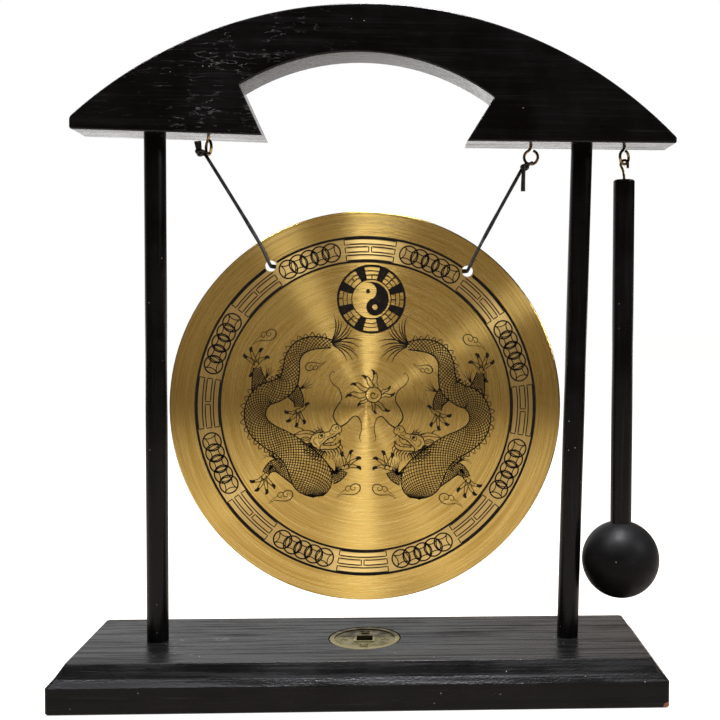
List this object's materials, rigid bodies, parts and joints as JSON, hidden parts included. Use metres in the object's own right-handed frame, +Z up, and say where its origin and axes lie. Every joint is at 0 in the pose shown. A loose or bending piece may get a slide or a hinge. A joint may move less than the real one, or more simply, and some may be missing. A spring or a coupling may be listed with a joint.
{
  "type": "table gong with stand and mallet",
  "caption": "Flat brass gong hung by a cord from an arched black wooden stand with a bevelled base, with a ball mallet hooked at its side.",
  "frame": {"origin": "middle of the base board's underside", "axes": "+X to the right as the player faces the gong, towards the mallet; +Y to the back; +Z up"},
  "size_m": [0.2295, 0.065, 0.2577],
  "materials": {
    "black_paint": "black satin paint over wood with its grain showing, worn edges",
    "black_paint_dowel": "black satin paint over dowel",
    "black_paint_header": "black satin paint over wood, fine cracks and scratches",
    "black_paint_ball": "black satin paint over a turned ball, a few chips",
    "aged_brass": "aged, dull, dark in the recesses",
    "dark_brass_wire": "tarnished wire",
    "gong_brass": "circular brushed, with black line ornament printed on the front",
    "gong_print": "black screen print",
    "waxed_cord": "black waxed cord, slightly flat",
    "bare_wood": "bare reddish wood where the paint is chipped"
  },
  "bodies": {
    "frame": {"base_board": "black_paint", "coin_inlay": "aged_brass", "left_post": "black_paint_dowel", "right_post": "black_paint_dowel", "arch_header": "black_paint_header", "left_screw_eye": "dark_brass_wire", "right_screw_eye": "dark_brass_wire", "mallet_screw_eye": "dark_brass_wire"},
    "suspension": {"cord_left_run": "waxed_cord", "cord_right_run": "waxed_cord", "left_knot": "waxed_cord", "right_knot": "waxed_cord", "left_cord_tail": "waxed_cord", "right_cord_tail": "waxed_cord"},
    "gong": {"gong_disc": "gong_brass", "cord_behind_gong": "waxed_cord"},
    "mallet": {"mallet_hook": "dark_brass_wire", "mallet_handle": "black_paint_dowel", "mallet_ball": "black_paint_ball"}
  },
  "joints": [
    {"name": "cord_swing", "type": "hinge", "parent": "frame", "child": "suspension", "pos_m": [-0.0592, 0, 0.20235], "axis": [0.9998, 0, -0.0195], "range_deg": [-40, 40]},
    {"name": "gong_tilt", "type": "hinge", "parent": "suspension", "child": "gong", "pos_m": [-0.0399, -0.0013, 0.1696], "axis": [0.9998, 0, -0.0204], "range_deg": [-25, 25]},
    {"name": "mallet_swing", "type": "hinge", "parent": "frame", "child": "mallet", "pos_m": [0.0998, 0, 0.2006], "axis": [1, 0, 0], "range_deg": [-45, 45]}
  ]
}
